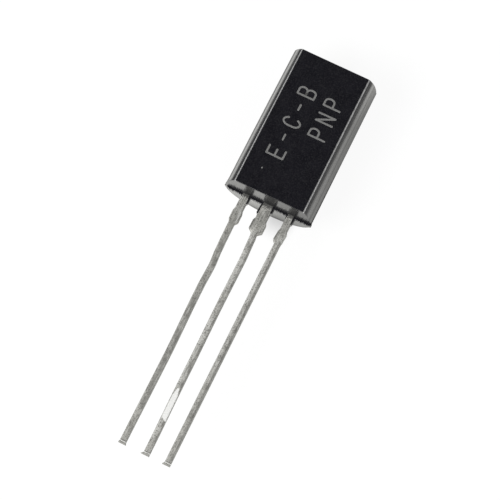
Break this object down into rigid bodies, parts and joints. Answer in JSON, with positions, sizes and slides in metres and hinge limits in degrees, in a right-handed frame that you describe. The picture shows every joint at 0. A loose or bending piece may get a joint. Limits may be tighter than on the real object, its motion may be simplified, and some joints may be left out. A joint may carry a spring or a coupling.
{
  "type": "transistor",
  "caption": "Long-body TO-92 transistor: black moulded D-shaped body with a flat face and a row of stamped leads that carry a die, lying on its round back.",
  "frame": {"origin": "on the surface it lies on, under the middle of the whole part's box", "axes": "+Y from the leads to the moulded body, +Z out of the flat face, +X from the emitter lead to the base lead"},
  "size_m": [0.005, 0.0224, 0.0039],
  "materials": {
    "black_resin": "moulded, low gloss with fine flow streaks",
    "tinned_lead": "dull tin plating with faint scratches",
    "silicon": "polished silicon",
    "solder": "dull solder",
    "gold_wire": "drawn gold wire"
  },
  "bodies": {
    "root": {"moulded_body": "black_resin", "emitter_lead": "tinned_lead", "collector_lead": "tinned_lead", "base_lead": "tinned_lead", "silicon_die": "silicon", "die_attach": "solder", "emitter_bond_wire": "gold_wire", "base_bond_wire": "gold_wire"}
  },
  "joints": []
}
